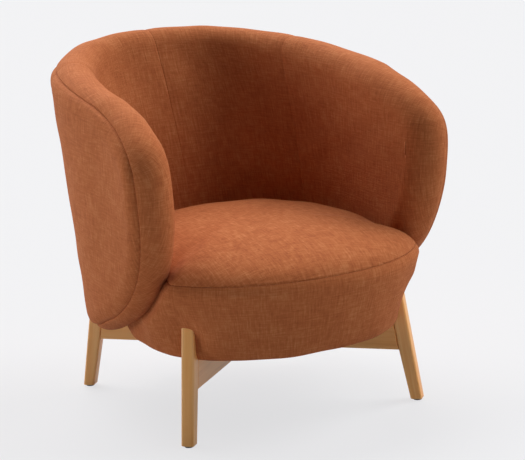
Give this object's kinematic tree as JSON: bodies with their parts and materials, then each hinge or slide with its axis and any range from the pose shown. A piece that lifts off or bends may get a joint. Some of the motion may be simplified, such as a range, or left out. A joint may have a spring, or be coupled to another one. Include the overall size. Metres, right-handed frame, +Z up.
{
  "type": "tub chair",
  "caption": "Low upholstered tub chair: a padded wall wraps round a crowned seat on splayed oak legs with crossed rails.",
  "frame": {"origin": "on the floor, under the centre of the chair's bounding box", "axes": "+Z up, +X to the sitter's left, and the chair faces -Y"},
  "size_m": [0.7508, 0.8372, 0.7418],
  "materials": {
    "upholstery": "rust woven upholstery cloth, matt, slightly mottled",
    "oak": "natural oak, satin lacquer",
    "frame_wood": "bare beech and birch ply, sawn",
    "foam": "upholstery foam, open cell, matt",
    "webbing": "elastic woven webbing",
    "lining": "black non-woven dust cloth",
    "steel": "zinc plated",
    "glide": "moulded nylon"
  },
  "bodies": {
    "root": {"leg_front_left": "oak", "leg_front_right": "oak", "leg_back_left": "oak", "leg_back_right": "oak", "cross_rail_upper": "oak", "cross_rail_lower": "oak", "dowel_front_left_lower": "frame_wood", "dowel_front_left_upper": "frame_wood", "dowel_front_right_lower": "frame_wood", "dowel_front_right_upper": "frame_wood", "dowel_back_left_lower": "frame_wood", "dowel_back_left_upper": "frame_wood", "dowel_back_right_lower": "frame_wood", "dowel_back_right_upper": "frame_wood", "glide_front_left": "glide", "glide_front_right": "glide", "glide_back_left": "glide", "glide_back_right": "glide", "base_bolt_front_left": "steel", "base_bolt_front_right": "steel", "base_bolt_back_left": "steel", "base_bolt_back_right": "steel", "tee_nut_front_left": "steel", "tee_nut_front_right": "steel", "tee_nut_back_left": "steel", "tee_nut_back_right": "steel", "seat_board": "frame_wood", "dust_cover": "lining", "seat_rail_left": "frame_wood", "seat_rail_right": "frame_wood", "seat_rail_front": "frame_wood", "seat_rail_back": "frame_wood", "webbing_long_1": "webbing", "webbing_long_2": "webbing", "webbing_long_3": "webbing", "webbing_cross_1": "webbing", "webbing_cross_2": "webbing", "seat_foam": "foam", "seat_border_cover": "upholstery", "seat_top_cover": "upholstery", "frame_arch_top": "frame_wood", "frame_arch_foot": "frame_wood", "frame_post_left_1": "frame_wood", "frame_post_right_1": "frame_wood", "frame_post_left_2": "frame_wood", "frame_post_right_2": "frame_wood", "foam_back": "foam", "foam_arm_left": "foam", "foam_arm_right": "foam", "cover_inside_back_left": "upholstery", "cover_inside_back_right": "upholstery", "cover_inside_arm_left": "upholstery", "cover_inside_arm_right": "upholstery", "cover_outside_back": "upholstery", "cover_outside_arm_left": "upholstery", "cover_outside_arm_right": "upholstery", "shell_bolt_1": "steel", "shell_bolt_2": "steel", "shell_bolt_3": "steel", "shell_bolt_4": "steel"}
  },
  "joints": []
}
